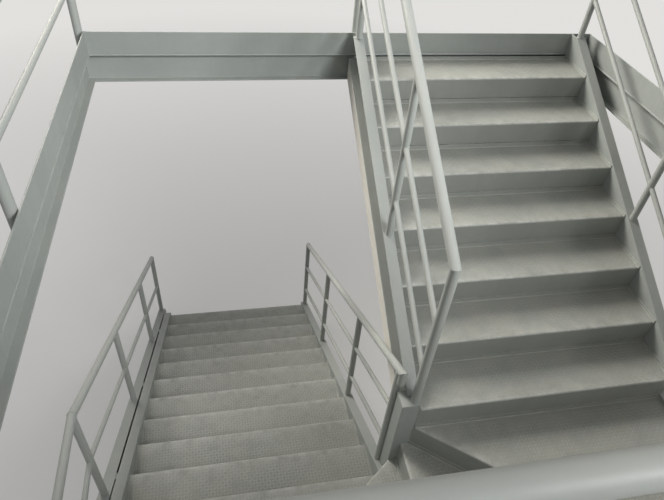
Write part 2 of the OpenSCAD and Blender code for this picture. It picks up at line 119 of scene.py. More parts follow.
def brushed_enamel():
    """Grey enamel put on by brush and roller over steel: clouds, dust, runs and chips."""
    group = bpy.data.node_groups.new("brushed enamel", "ShaderNodeTree")
    face = group.interface
    for name in ("Paint", "Second Coat", "Dust"):
        face.new_socket(name, in_out="INPUT", socket_type="NodeSocketColor")
    for name in ("Dustiness", "Runs", "Chips"):
        face.new_socket(name, in_out="INPUT", socket_type="NodeSocketFloat")
    face.new_socket("Color", in_out="OUTPUT", socket_type="NodeSocketColor")
    for name in ("Roughness", "Height"):
        face.new_socket(name, in_out="OUTPUT", socket_type="NodeSocketFloat")
    given = put(group, "NodeGroupInput").outputs
    place = put(group, "ShaderNodeTexCoord").outputs["Object"]
    facing = put(group, "ShaderNodeNewGeometry").outputs["Normal"]
    upward = put(group, "ShaderNodeSeparateXYZ", {0: facing}).outputs["Z"]
    lying = span(group, upward, 0.45, 0.95)
    upright = reckon(group, "SUBTRACT", 1.0, lying)

    cloud = span(group, speckle(group, place, 1.6, 4.0, 0.6), 0.36, 0.64)
    coat = blend_colour(group, cloud, given["Paint"], given["Second Coat"])
    mottle = span(group, speckle(group, place, 24.0, 5.0, 0.65), 0.42, 0.72, 0.0, 0.45)
    coat = blend_colour(group, mottle, coat, given["Second Coat"])

    settled = span(group, speckle(group, place, 6.0, 6.0, 0.65), 0.34, 0.7)
    settled = reckon(group, "MULTIPLY", settled, lying, given["Dustiness"])
    coat = blend_colour(group, settled, coat, given["Dust"])

    drawn_down = reckon_place(group, "MULTIPLY", place, (26.0, 26.0, 1.1))
    runs = span(group, speckle(group, drawn_down, 1.0, 3.0), 0.5, 0.78)
    runs = reckon(group, "MULTIPLY", runs, upright, given["Runs"])
    coat = blend_colour(group, runs, coat, (0.62, 0.6, 0.56, 1.0), "MULTIPLY")

    flakes = span(group, speckle(group, place, 58.0, 3.0, 0.7), 0.715, 0.73)
    patches = span(group, speckle(group, place, 3.1, 2.0), 0.5, 0.6)
    flakes = reckon(group, "MULTIPLY", flakes, patches, given["Chips"])
    coat = blend_colour(group, flakes, coat, (0.085, 0.075, 0.065, 1.0))

    rough = span(group, speckle(group, place, 11.0, 4.0), 0.3, 0.7, 0.42, 0.56)
    rough = reckon(group, "ADD", rough, reckon(group, "MULTIPLY", settled, 0.3))
    stipple = reckon(group, "MULTIPLY", speckle(group, place, 420.0, 2.0), 0.35)
    height = reckon(group, "ADD", stipple, reckon(group, "MULTIPLY", mottle, 0.8),
                    reckon(group, "MULTIPLY", flakes, -1.2))
    put(group, "NodeGroupOutput", {"Color": coat, "Roughness": rough, "Height": height})
    return group


enamel = brushed_enamel()


def new_paint(name):
    material = bpy.data.materials.new(name)
    material.use_nodes = True
    tree = material.node_tree
    return material, tree, tree.nodes["Principled BSDF"]


def feed(tree, shader, colour, roughness, height, strength, relief):
    """Links a paint's colour, roughness and height into its shader."""
    bump = put(tree, "ShaderNodeBump", {"Strength": strength, "Distance": relief, "Height": height})
    tree.links.new(colour, shader.inputs["Base Color"])
    tree.links.new(roughness, shader.inputs["Roughness"])
    tree.links.new(bump.outputs["Normal"], shader.inputs["Normal"])


def enamel_material(name, paint, second_coat, dust, dustiness, runs, chips, relief=0.0006):
    material, tree, shader = new_paint(name)
    coat = put(tree, "ShaderNodeGroup", {
        "Paint": paint, "Second Coat": second_coat, "Dust": dust,
        "Dustiness": dustiness, "Runs": runs, "Chips": chips}, node_tree=enamel).outputs
    feed(tree, shader, coat["Color"], coat["Roughness"], coat["Height"], 0.6, relief)
    return material


steel_paint = enamel_material(
    "steelwork enamel", (0.385, 0.408, 0.382, 1), (0.335, 0.357, 0.338, 1),
    (0.45, 0.435, 0.39, 1), 0.45, 0.1, 0.35)


def keep(piece, finish, *stands_for):
    """The piece goes with the stair and may stand for nodes, which it hides; finish is not used."""
    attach(piece, "root")
    if stands_for:
        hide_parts(*stands_for)


def as_piece(name, shape, material, smooth):
    """Makes a piece of a drawn shape; edges that turn by more than smooth degrees stay sharp."""
    bmesh.ops.recalc_face_normals(shape, faces=shape.faces)
    mesh = bpy.data.meshes.new(name)
    shape.to_mesh(mesh)
    shape.free()
    mesh.materials.append(material)
    if smooth:
        mesh.shade_smooth()
        mesh.set_sharp_from_angle(angle=math.radians(smooth))
    piece = bpy.data.objects.new(name, mesh)
    bpy.context.scene.collection.objects.link(piece)
    return piece


def rounded(name, edge_radius, corner_radius=0):
    """A steel section as the mill leaves it: the node's own shape with its edges eased."""
    shape = bmesh.new()
    shape.from_mesh(nodes[name].data)
    bmesh.ops.remove_doubles(shape, verts=shape.verts, dist=1e-5)
    bmesh.ops.dissolve_limit(shape, angle_limit=math.radians(1), verts=shape.verts, edges=shape.edges)
    section_corner, any_edge = 1.0, 0.004
    for size, least, facets in ((corner_radius, section_corner, 3), (edge_radius, any_edge, 2)):
        if not size:
            continue
        edges = [e for e in shape.edges if len(e.link_faces) == 2 and e.calc_length() > least
                 and e.calc_face_angle() > math.radians(40)]
        bmesh.ops.bevel(shape, geom=edges, offset=size / 1000, offset_type="OFFSET",
                        segments=facets, profile=0.5, affect="EDGES", clamp_overlap=False)
        bmesh.ops.dissolve_degenerate(shape, dist=5e-5, edges=shape.edges)
    keep(as_piece(name + "_steel", shape, steel_paint, 0), "frame_grey", name)


def turned(shape, profile, steps, place=Matrix()):
    """Adds a closed shape turned round Z from (radius, height) points in millimetres."""
    rings = []
    for radius, height in profile:
        if radius == 0:
            rings.append([shape.verts.new(place @ Vector((0, 0, height / 1000)))])
            continue
        ring = []
        for k in range(steps):
            a = 2 * math.pi * k / steps
            spot = Vector((radius * math.cos(a), radius * math.sin(a), height)) / 1000
            ring.append(shape.verts.new(place @ spot))
        rings.append(ring)
    for low, high in zip(rings, rings[1:]):
        for k in range(steps):
            corners = [low[k % len(low)], low[(k + 1) % len(low)],
                       high[(k + 1) % len(high)], high[k % len(high)]]
            corners = list(dict.fromkeys(corners))
            if len(corners) > 2:
                shape.faces.new(corners)


def run_tree(piece, tree, **values):
    """Puts a geometry tree on the piece, keeps what it makes as a plain mesh."""
    work = piece.modifiers.new(tree.name, "NODES")
    work.node_group = tree
    sockets = {s.name: s.identifier for s in tree.interface.items_tree
               if s.item_type == "SOCKET" and s.in_out == "INPUT"}
    for name, value in values.items():
        work[sockets[name.replace("_", " ")]] = value
    seen = piece.evaluated_get(bpy.context.evaluated_depsgraph_get())
    mesh = bpy.data.meshes.new_from_object(seen)
    piece.modifiers.remove(work)
    old = piece.data
    piece.data = mesh
    bpy.data.meshes.remove(old)
    mesh.name = piece.name


def geometry_tree(name, *sockets):
    """An empty tree that takes a shape and the named inputs, with the node that gives them."""
    tree = bpy.data.node_groups.new(name, "GeometryNodeTree")
    tree.interface.new_socket("Geometry", in_out="INPUT", socket_type="NodeSocketGeometry")
    for label, kind in sockets:
        tree.interface.new_socket(label, in_out="INPUT", socket_type="NodeSocket" + kind)
    tree.interface.new_socket("Geometry", in_out="OUTPUT", socket_type="NodeSocketGeometry")
    return tree, put(tree, "NodeGroupInput").outputs


def end_tree(tree, made, paint):
    """Ends a tree: what it made becomes plain mesh and takes its paint."""
    real = put(tree, "GeometryNodeRealizeInstances", {0: made})
    dressed = put(tree, "GeometryNodeSetMaterial", {0: real, "Material": paint})
    put(tree, "NodeGroupOutput", {0: dressed})
    return tree


def anchor_setting():
    """The anchors stand on a grid, each turned a little its own way as the spanner left it."""
    tree, given = geometry_tree(
        "anchor grid", ("Across", "Float"), ("Along", "Float"), ("Rows", "Int"),
        ("Columns", "Int"), ("Seed", "Int"), ("Paint", "Material"))
    grid = put(tree, "GeometryNodeMeshGrid", {
        "Size X": given["Across"], "Size Y": given["Along"],
        "Vertices X": given["Rows"], "Vertices Y": given["Columns"]})
    turn = put(tree, "FunctionNodeRandomValue", {
        2: 0.0, 3: 6.28, "Seed": given["Seed"]}, data_type="FLOAT")
    turn = put(tree, "ShaderNodeCombineXYZ", {"Z": turn.outputs[1]})
    stood = put(tree, "GeometryNodeInstanceOnPoints", {
        "Points": grid, "Instance": given["Geometry"], "Rotation": turn})
    return end_tree(tree, stood, given["Paint"])


anchor_grid = anchor_setting()


def anchors(name, spot, across, along, seed, lean=Matrix()):
    """Washer, nut and stud end at every hole of a plate. A spacing of 0 is a single row."""
    washer = [(0, 0), (12, 0), (12.4, 0.6), (12.4, 2), (11.8, 2.5), (0, 2.5)]
    nut = [(0, 2.5), (9.6, 2.5), (10.9, 3.6), (10.9, 11), (9.6, 12.4), (0, 12.4)]
    stud_end = [(0, 12), (5.9, 12), (5.9, 15.2), (5.1, 16.2), (0, 16.2)]
    shape = bmesh.new()
    for profile, sides in ((washer, 20), (nut, 6), (stud_end, 12)):
        turned(shape, profile, sides)
    piece = as_piece(name, shape, steel_paint, 25)
    run_tree(piece, anchor_grid, Across=across / 1000, Along=along / 1000, Rows=2 if across else 1,
             Columns=2 if along else 1, Seed=seed, Paint=steel_paint)
    piece.data.transform(Matrix.Translation(at(*spot)) @ lean)
    keep(piece, "frame_grey")


(low_x, low_y, _), (high_x, high_y, _) = extent("corner_columns")
left_x, right_x, near_y = low_x + base_side / 2, high_x - base_side / 2, (low_y + high_y) / 2
rounded("newel_column", 1.5, 4)
rounded("corner_columns", 1.5, 6)
column_feet = {"newel": (0, 0), "left_column": (left_x, near_y), "right_column": (right_x, near_y)}
for (name, spot), seed in zip(column_feet.items(), (3, 8, 5)):
    anchors(name + "_anchors", (*spot, base_thick), anchor_pitch, anchor_pitch, seed)

# Weld seams
# Every joint of the stair is arc welded and painted over. A seam shows as a low rippled
# bead that the electrode left, so it is drawn along each joint line and its width wavers.
highest = solid_box[1][2]


def weld_setting():
    tree, given = geometry_tree(
        "weld bead", ("Bead", "Float"), ("Ripple", "Float"), ("Seed", "Int"), ("Paint", "Material"))
    seam = put(tree, "GeometryNodeMeshToCurve", {0: given["Geometry"]})
    seam = put(tree, "GeometryNodeResampleCurve", {"Curve": seam, "Length": given["Ripple"]}, mode="LENGTH")
    waver = put(tree, "FunctionNodeRandomValue", {
        2: 0.72, 3: 1.12, "Seed": given["Seed"]}, data_type="FLOAT")
    width = reckon(tree, "MULTIPLY", waver.outputs[1], given["Bead"])
    rod = put(tree, "GeometryNodeCurvePrimitiveCircle", {"Resolution": 6, "Radius": 0.5})
    bead = put(tree, "GeometryNodeCurveToMesh", {
        "Curve": seam, "Profile Curve": rod, "Scale": width, "Fill Caps": True})
    bead = put(tree, "GeometryNodeSetShadeSmooth", {"Geometry": bead})
    return end_tree(tree, bead, given["Paint"])


weld_bead = weld_setting()


def welds(name, lines, bead, finish, paint, seed):
    """Beads of a width in millimetres along lines of places; a line may close to a ring.

    A bead reaches up to 0.56 of its width from its middle, so it stays under the top of the solids.
    """
    highest_middle = highest - bead * 0.58 / 1000
    spots, edges = [], []
    for line in lines:
        ring = (line[0] - line[-1]).length < 1e-6
        line = [Vector((x, y, min(z, highest_middle))) for x, y, z in line]
        first = len(spots)
        spots += line[:-1] if ring else line
        last = len(spots) - 1
        edges += [(k, k + 1) for k in range(first, last)]
        if ring:
            edges.append((last, first))
    mesh = bpy.data.meshes.new(name)
    mesh.from_pydata(spots, edges, [])
    mesh.materials.append(paint)
    piece = bpy.data.objects.new(name, mesh)
    bpy.context.scene.collection.objects.link(piece)
    run_tree(piece, weld_bead, Bead=bead / 1000, Ripple=0.004, Seed=seed, Paint=paint)
    keep(piece, finish)


def square_seam(x, y, z, side):
    h = side / 2
    corners = [(-h, -h), (h, -h), (h, h), (-h, h), (-h, -h)]
    return [at(x + i, y + j, z) for i, j in corners]


welds("column_foot_welds",
      [square_seam(*spot, base_thick, column_side + 1) for spot in column_feet.values()],
      9, "frame_grey", steel_paint, 2)
newel_top = extent("newel_column")[1][2]
welds("newel_cap_weld", [square_seam(0, 0, newel_top - 4, column_side)], 3.5, "frame_grey", steel_paint, 11)

# Edge beams
# Rolled beams carry the floor edge round the well. An 8 mm fascia plate is stitch welded
# on their top flange, which shows as a thin bright line below the plate.
beam_deep, fascia_step, seam_in = 180, 4.5, 1.5
(_, low_y, beam_low_z), (_, high_y, floor_z) = extent("edge_beam_far")
far_y = (low_y + high_y) / 2
flange_z = beam_low_z + beam_deep
to_fascia = (high_y - low_y) / 2 - fascia_step
fascia_left, fascia_right = left_x + to_fascia, right_x - to_fascia
fascia_near, fascia_far = near_y + to_fascia, far_y - to_fascia
flight_side = extent("upper_stringer_inner")[0][0]
for side in ("far", "left", "near", "right"):
    rounded("edge_beam_" + side, 2)


def stitches(a, b, length=45, gap=210):
    """Short weld lengths along a line from a to b, all in millimetres."""
    a, b = Vector(a), Vector(b)
    way = (b - a).normalized()
    lines, s = [], gap / 2
    while s + length < (b - a).length:
        lines.append([at(*(a + way * s)), at(*(a + way * (s + length)))])
        s += length + gap
    return lines


seams = []
for x in (fascia_left + seam_in, fascia_right - seam_in):
    seams += stitches((x, fascia_near, flange_z), (x, fascia_far, flange_z))
for y, end in ((fascia_far - seam_in, flight_side - 21), (fascia_near + seam_in, fascia_right)):
    seams += stitches((fascia_left, y, flange_z), (end, y, flange_z))
for y in (fascia_far, fascia_near):
    seams += [[at(x, y, flange_z), at(x, y, floor_z - 1)] for x in (fascia_left, fascia_right)]
seams += [square_seam(x, near_y, beam_low_z, column_side + 1) for x in (left_x, right_x)]
welds("edge_beam_welds", seams, 4.5, "frame_grey", steel_paint, 4)

# Stringers
# Rolled channels, 190 mm deep on the pitch and 220 mm where they run level round the turn.
# They are cut to a mitre at each change of slope, welded, and bolted down at the foot.
channel_deep, level_deep, flange, above_noses = 190, 220, 66, 25
upper_steps, lower_steps, turn_steps, turned_up = 7, 10, 4, 22
for name in ("upper_stringer_inner", "upper_stringer_outer", "lower_stringer_inner",
             "lower_stringer_outer", "winder_stringer_left", "winder_stringer_near_left",
             "winder_stringer_near_right", "winder_stringer_right"):
    rounded(name, 2)
(upper_in, first_nose, _), (upper_out, floor_nose, first_back_z) = extent("upper_tread_1")
(lower_out, turn_y, _), (lower_in, _, _) = extent("lower_tread_1")
turn_near = extent("winder_tread_1")[0][1]
going, rise = floor_nose - first_nose, floor_z - (first_back_z - turned_up)
turn_tops = [floor_z - (upper_steps + k) * rise for k in range(turn_steps + 1)]
level_tops = [top + above_noses for top in turn_tops]


def upper_line(y):
    """Height of the line over the noses of the upper flight."""
    return floor_z - (floor_nose - y) * rise / going


def lower_line(y):
    return turn_tops[-1] - (y - turn_y) * rise / going


def on_upper(y):
    """The top of the upper channels, where posts stand."""
    return upper_line(y) + above_noses


def on_lower(y):
    return lower_line(y) + above_noses


foot_y = turn_y + lower_steps * going + 25
foot_anchor_y, foot_anchor_pitch = foot_y - 55, 150
seams = []
for x, out, high, level in ((upper_out, flange, on_upper(turn_y), level_tops[1]),
                            (lower_out, -flange, on_lower(turn_y), level_tops[4])):
    seams.append([at(x + out, turn_y, high), at(x, turn_y, high), at(x, turn_y, level - level_deep + 5)])
for x in (upper_in, upper_out):
    seams.append([at(x, fascia_far - 2, flange_z + 3), at(x, fascia_far - 2, floor_z - 2)])
for x, side in ((lower_in, 1), (lower_out, -1)):
    high = on_lower(foot_y) - 1
    seams.append([at(x, foot_y, base_thick + 1), at(x, foot_y, high), at(x + side * flange, foot_y, high)])
    seams.append([at(x - side * 2, y, base_thick) for y in (foot_y - 157, foot_y + 40)])
welds("stringer_welds", seams, 6, "frame_grey", steel_paint, 6)
anchors("inner_foot_anchors", (lower_in + flange / 2, foot_anchor_y, base_thick), 0, foot_anchor_pitch, 2)
anchors("outer_foot_anchors", (lower_out - flange / 2, foot_anchor_y, base_thick), 0, foot_anchor_pitch, 7)
end_plate_out, bolt_pitch = column_side / 2 + 10, 120
sideways = Matrix.Rotation(math.radians(90), 4, "Y")
anchors("left_end_plate_bolts", (left_x + end_plate_out, near_y, level_tops[3] - level_deep / 2),
        bolt_pitch, 0, 4, sideways)
anchors("right_end_plate_bolts", (right_x - end_plate_out, near_y, level_tops[2] - level_deep / 2),
        bolt_pitch, 0, 9, sideways @ Matrix.Rotation(math.pi, 4, "X"))

# Side kerb
# A rectangular hollow section beside the lower flight carries the outer rail. Packers
# weld it to the stringer, and a short foot plate with one anchor holds its low end.
rounded("side_kerb", 3)
kerb_wide, kerb_deep, packer_long = 71, 100, 60
(kerb_outer, _, _), (_, kerb_end, kerb_top) = extent("side_kerb")
kerb_x, kerb_inner = kerb_outer + kerb_wide / 2, kerb_outer + kerb_wide
anchors("kerb_anchor", (kerb_x, kerb_end - 20, base_thick), 0, 0, 6)
seams = []
for start in (200, 1300, 2400, -1160, -250):
    seams.append([at(kerb_inner, y, min(kerb_top, on_lower(y))) for y in (start, start + packer_long)])
seams.append([at(kerb_inner, turn_y, kerb_top), at(kerb_outer, turn_y, kerb_top),
              at(kerb_outer, turn_y, kerb_top - kerb_deep - 10)])
welds("kerb_welds", seams, 5, "frame_grey", steel_paint, 3)

# Straight treads
# Each tread is one 6 mm chequer plate: folded down 140 mm in front as an open riser, up
# 22 mm at the back and 16 mm at its ends, where it is welded to the stringer webs.
plate, riser_deep, ends_up, nose_round = 6, 140, 16, 9.5

# A profile is drawn in points of distance behind the nose, height over the plate's top and
# the share of lighter paint there: worn paint on the nose, a painted highlight in an upstand's fold.
riser_profile = [(u, w, 0) for u, w in (
    (0, -nose_round), (0, 1 - riser_deep), (1, -riser_deep), (plate - 1, -riser_deep),
    (plate, 1 - riser_deep), (plate, -nose_round))]
top_profile = [(110, 0, 0.12), (60, 0, 0.35), (30, 0, 0.6), (nose_round, 0, 1.0), (6, -0.7, 1.0),
               (2.8, -2.8, 1.0), (0.7, -6, 0.8), (0, -nose_round, 0),
               (plate, -nose_round, 0), (6.9, -6.9, 0), (9.2, -plate, 0)]


def flange_profile(high, rim_lighter, fold_highlight):
    # The fold at the foot of the upstand is painted lighter as a highlight; the rim is drawn lighter by the
    # given share.
    side_lighter = 0.3 * rim_lighter
    return [(1.6, -5.9, 0), (0.3, -4.6, 0), (0, -3, 0), (0, high - 1, 0), (0.8, high, rim_lighter),
            (4.2, high, rim_lighter), (5, high - 1, side_lighter), (5, 4.2, side_lighter), (5.9, 1.6, 1.0),
            (8.4, 0.1, fold_highlight), (8.4, -5.9, fold_highlight)]


def fold_along(shape, profile, a, b, top, lightening, spare=400):
    """Draws a bent section along the line from a to b and past it, with the sheet on its left."""
    a, b = Vector(a), Vector(b)
    way = (b - a).normalized()
    inward = Vector((-way.y, way.x))
    rows = []
    for end in (a - way * spare, b + way * spare):
        row = []
        for u, w, lightness in profile:
            spot = end + inward * u
            vert = shape.verts.new(at(spot.x, spot.y, top + w))
            vert[lightening] = lightness
            row.append(vert)
        rows.append(row)
    n = len(profile)
    for k in range(n):
        shape.faces.new([rows[0][k], rows[0][(k + 1) % n], rows[1][(k + 1) % n], rows[1][k]])
    shape.faces.new(rows[0])
    shape.faces.new(rows[1])


def trim(shape, outline, but, inset):
    """Shears the shape plumb along every side of the outline but one."""
    count = len(outline)
    for k in range(count):
        if k == but:
            continue
        a, b = Vector(outline[k]), Vector(outline[(k + 1) % count])
        way = (b - a).normalized()
        outward = Vector((way.y, -way.x))
        spot = a - outward * inset.get(k, 0.0)
        every = shape.verts[:] + shape.edges[:] + shape.faces[:]
        cut = bmesh.ops.bisect_plane(shape, geom=every, dist=1e-7, plane_co=at(spot.x, spot.y, 0),
                                     plane_no=(outward.x, outward.y, 0), clear_outer=True)
        rim = [g for g in cut["geom_cut"] if isinstance(g, bmesh.types.BMEdge)]
        bmesh.ops.holes_fill(shape, edges=rim, sides=0)


def folded_plate(outline, top, depth, ends):
    """A tread blank folded to its outline. Side 0 is the nose, side 2 the back."""
    nose, back = 0, 2
    whole = bmesh.new()
    whole.verts.layers.float.new("worn_and_highlit")
    sheet_profile = [(depth, -plate, 0), (depth, 0, 0), *top_profile]
    # The back and end upstands carry the painted highlight in their fold.
    jobs = [(nose, sheet_profile, {k: 4.5 for k in (back, *ends)}), (nose, riser_profile, {}),
            (back, flange_profile(turned_up, 0, 0.8), {})]
    jobs += [(k, flange_profile(ends_up, 1.0, 0.6), {}) for k in ends]
    for side, profile, inset in jobs:
        part = bmesh.new()
        lightening = part.verts.layers.float.new("worn_and_highlit")
        fold_along(part, profile, outline[side], outline[(side + 1) % len(outline)], top, lightening)
        bmesh.ops.recalc_face_normals(part, faces=part.faces)
        trim(part, outline, side, inset)
        mesh = bpy.data.meshes.new("blank")
        part.to_mesh(mesh)
        part.free()
        whole.from_mesh(mesh)
        bpy.data.meshes.remove(mesh)
    return whole


def lug_setting():
    """The rolled pattern: lens-shaped lugs on a square grid, every other one turned a quarter."""
    tree, given = geometry_tree(
        "lug pattern", ("Pitch", "Float"), ("Lug Length", "Float"), ("Lug Width", "Float"),
        ("Lug Height", "Float"), ("Top", "Float"), ("Shift", "Vector"), ("Rub", "Float"),
        ("Paint", "Material"))
    limits = put(tree, "GeometryNodeBoundBox", {0: given["Geometry"]}).outputs
    size = reckon_place(tree, "SUBTRACT", limits["Max"], limits["Min"])
    middle = reckon_place(tree, "SCALE", reckon_place(tree, "ADD", limits["Max"], limits["Min"]), 0.5)
    sides = put(tree, "ShaderNodeSeparateXYZ", {0: size}).outputs
    counts, lengths = [], []
    for side in (sides["X"], sides["Y"]):
        count = reckon(tree, "ADD", reckon(tree, "DIVIDE", side, given["Pitch"]), 1.0)
        counts.append(reckon(tree, "CEIL", count))
        steps = reckon(tree, "SUBTRACT", counts[-1], 1.0)
        lengths.append(reckon(tree, "MULTIPLY", steps, given["Pitch"]))
    grid = put(tree, "GeometryNodeMeshGrid", {
        "Size X": lengths[0], "Size Y": lengths[1], "Vertices X": counts[0], "Vertices Y": counts[1]})
    home = reckon_place(tree, "ADD", middle, given["Shift"])
    home = reckon_place(tree, "MULTIPLY", home, (1.0, 1.0, 0.0))
    home = reckon_place(tree, "ADD", home, put(tree, "ShaderNodeCombineXYZ", {"Z": given["Top"]}))

    # Which way a lug lies is settled before the grid moves, from its row and column.
    here = put(tree, "GeometryNodeInputPosition")
    spot = put(tree, "ShaderNodeSeparateXYZ", {0: here}).outputs
    half = reckon(tree, "MULTIPLY", reckon(tree, "ADD", *lengths), 0.5)
    number = reckon(tree, "DIVIDE", reckon(tree, "ADD", spot["X"], spot["Y"], half), given["Pitch"])
    odd = reckon(tree, "MODULO", reckon(tree, "ROUND", number), 2.0)
    angle = reckon(tree, "SUBTRACT", reckon(tree, "MULTIPLY", odd, math.pi / 2), math.pi / 4)
    turned_grid = put(tree, "GeometryNodeStoreNamedAttribute", {
        "Geometry": grid, "Name": "lie", "Value": angle}, data_type="FLOAT", domain="POINT")
    moved = put(tree, "GeometryNodeTransform", {0: turned_grid, "Translation": home})
    lie = put(tree, "GeometryNodeInputNamedAttribute", {"Name": "lie"}, data_type="FLOAT")

    # A lug is kept where both of its tips lie on the flat of the sheet: a ray that starts
    # this far over a tip has to land within a hair of the top.
    above, hair, past_tip = 0.05, 0.0003, 0.56
    along = put(tree, "ShaderNodeCombineXYZ", {
        "X": reckon(tree, "COSINE", lie), "Y": reckon(tree, "SINE", lie)})
    on_flat = []
    for way in (past_tip, -past_tip):
        reach = reckon(tree, "MULTIPLY", given["Lug Length"], way)
        tip = reckon_place(tree, "ADD", here, reckon_place(tree, "SCALE", along, reach))
        tip = reckon_place(tree, "ADD", tip, (0, 0, above))
        probe = put(tree, "GeometryNodeRaycast", {
            "Target Geometry": given["Geometry"], "Source Position": tip,
            "Ray Direction": (0, 0, -1), "Ray Length": above + hair}).outputs
        far_enough = reckon(tree, "GREATER_THAN", probe["Hit Distance"], above - hair)
        on_flat += [far_enough, probe["Is Hit"]]
    stray = reckon(tree, "LESS_THAN", reckon(tree, "MULTIPLY", *on_flat), 0.5)
    on_sheet = put(tree, "GeometryNodeDeleteGeometry", {
        "Geometry": moved, "Selection": stray}, domain="POINT")

    lug = put(tree, "GeometryNodeMeshCone", {
        "Vertices": 6, "Side Segments": 1, "Radius Top": 0.58, "Radius Bottom": 1.0, "Depth": 1.0},
        fill_type="NGON")
    girth = put(tree, "ShaderNodeCombineXYZ", {
        "X": reckon(tree, "MULTIPLY", given["Lug Length"], 0.5),
        "Y": reckon(tree, "MULTIPLY", given["Lug Width"], 0.58), "Z": given["Lug Height"]})
    lug = put(tree, "GeometryNodeTransform", {0: lug, "Scale": girth})
    lug = put(tree, "GeometryNodeStoreNamedAttribute", {
        "Geometry": lug, "Name": "worn_and_highlit", "Value": given["Rub"]}, data_type="FLOAT", domain="POINT")
    pattern = put(tree, "GeometryNodeInstanceOnPoints", {
        "Points": on_sheet, "Instance": lug, "Rotation": put(tree, "ShaderNodeCombineXYZ", {"Z": lie})})
    joined = put(tree, "GeometryNodeJoinGeometry")
    tree.links.new(pattern.outputs[0], joined.inputs[0])
    tree.links.new(given["Geometry"], joined.inputs[0])
    return end_tree(tree, joined, given["Paint"])


lug_pattern = lug_setting()


def tread_enamel():
    """Shoes have worn the paint on the noses and lugs to a lighter, smoother grey; the same lighter grey is
    a painted highlight in the folds at the foot of the upstands, and lightens the rims of the end upstands.
    """
    material = enamel_material("tread enamel", (0.335, 0.348, 0.315, 1), (0.285, 0.3, 0.275, 1),
                               (0.41, 0.395, 0.345, 1), 0.6, 0.12, 0.3)
    tree = material.node_tree
    shader = tree.nodes["Principled BSDF"]
    coat = next(node for node in tree.nodes if node.type == "GROUP").outputs
    worn_and_highlit = put(tree, "ShaderNodeAttribute", attribute_name="worn_and_highlit").outputs["Fac"]
    place = put(tree, "ShaderNodeTexCoord").outputs["Object"]
    uneven = span(tree, speckle(tree, place, 14.0, 5.0, 0.65), 0.3, 0.62)
    # Paint turns a lighter grey by the attribute: worn paint on noses and lugs, a painted highlight in the
    # upstand folds.
    lightened = reckon(tree, "MULTIPLY", worn_and_highlit, uneven)
    tone = blend_colour(tree, lightened, coat["Color"], (0.49, 0.495, 0.46, 1))
    shine = reckon(tree, "SUBTRACT", coat["Roughness"], reckon(tree, "MULTIPLY", lightened, 0.12))
    tree.links.new(tone, shader.inputs["Base Color"])
    tree.links.new(shine, shader.inputs["Roughness"])
    return material


tread_paint = tread_enamel()


def tread_piece(node, shape, top, number, lightening):
    """Rolls the pattern on a folded blank; the number shifts it, as blanks are cut anywhere."""
    piece = as_piece(node + "_plate", shape, tread_paint, 30)
    shift = Vector((0.0043 * (number % 5), 0.0061 * (number % 3), 0))
    run_tree(piece, lug_pattern, Pitch=0.02, Lug_Length=0.0225, Lug_Width=0.0056,
             Lug_Height=0.0014, Top=top / 1000 - 0.0002, Shift=shift, Rub=lightening, Paint=tread_paint)
    keep(piece, "tread_grey", node)


seam_out, seam_bead = 4, 10
tread_seams, back_seams = [], []
for flight, count, inward, shifted, lightening in (("upper", upper_steps, 1, 0, 0.5),
                                            ("lower", lower_steps, -1, upper_steps, 1.5)):
    for k in range(1, count + 1):
        node = f"{flight}_tread_{k}"
        low, high = extent(node)
        x0, x1, top = low[0], high[0], high[2] - turned_up
        (left, nose, _), (right, back, _) = (low, high) if inward > 0 else (high, low)
        outline = [(left, nose), (right, nose), (right, back), (left, back)]
        shape = folded_plate(outline, top, going - 5, (1, 3))
        tread_piece(node, shape, top, k + shifted, lightening)
        for x in (x0 + 0.5, x1 - 0.5):
            for s in (12, 125, 235):
                tread_seams.append([at(x, nose + inward * y, top + ends_up) for y in (s, s + 45)])
            tread_seams.append([at(x, nose + inward, top - 20), at(x, nose + inward, top - 128)])
        if node != "upper_tread_1":
            back_seams.append([at(x, back + inward * seam_out, top + turned_up) for x in (x0 + 1, x1 - 1)])
welds("tread_welds", tread_seams, 4.5, "tread_grey", tread_paint, 7)
welds("riser_seams", back_seams, seam_bead, "tread_grey", tread_paint, 12)

# Winder treads
# Four wider blanks of the same plate fan round the newel. Each is cut to the joint lines of
# the turn, folded along its nose, and turned up along the channels and under the next nose.
half = column_side / 2
fan = [([(half, turn_y), (upper_out, turn_near), (upper_out, turn_y)], 1210),
       ([(0, turn_y), (0, turn_near), (upper_out, turn_near), (half, turn_y)], 1590),
       ([(-half, turn_y), (lower_out, turn_near), (0, turn_near), (0, turn_y)], 1010),
       ([(-half, turn_y), (lower_out, turn_y), (lower_out, turn_near)], 1210)]
winder_seams = []
for k, (outline, blank_wide) in enumerate(fan, 1):
    top = turn_tops[k]
    shape = folded_plate(outline, top, blank_wide, (1,))
    tread_piece(f"winder_tread_{k}", shape, top, k + 20, 0.4 + 0.3 * k)
    a, b = Vector(outline[2]), Vector(outline[3 % len(outline)])
    out = Vector(((b - a).y, (a - b).x)).normalized() * seam_out
    winder_seams.append([at(*(a + out), top + turned_up), at(*(b + out), top + turned_up)])
    winder_seams.append([at(*outline[0], top - 8), at(*outline[0], top - 137)])
welds("winder_riser_seams", winder_seams, seam_bead, "tread_grey", tread_paint, 13)

# Lining
# Painted boards close the underside of the upper flight: a deep board along each stringer
# and a bottom board between them, rolled in cream paint and screwed on.


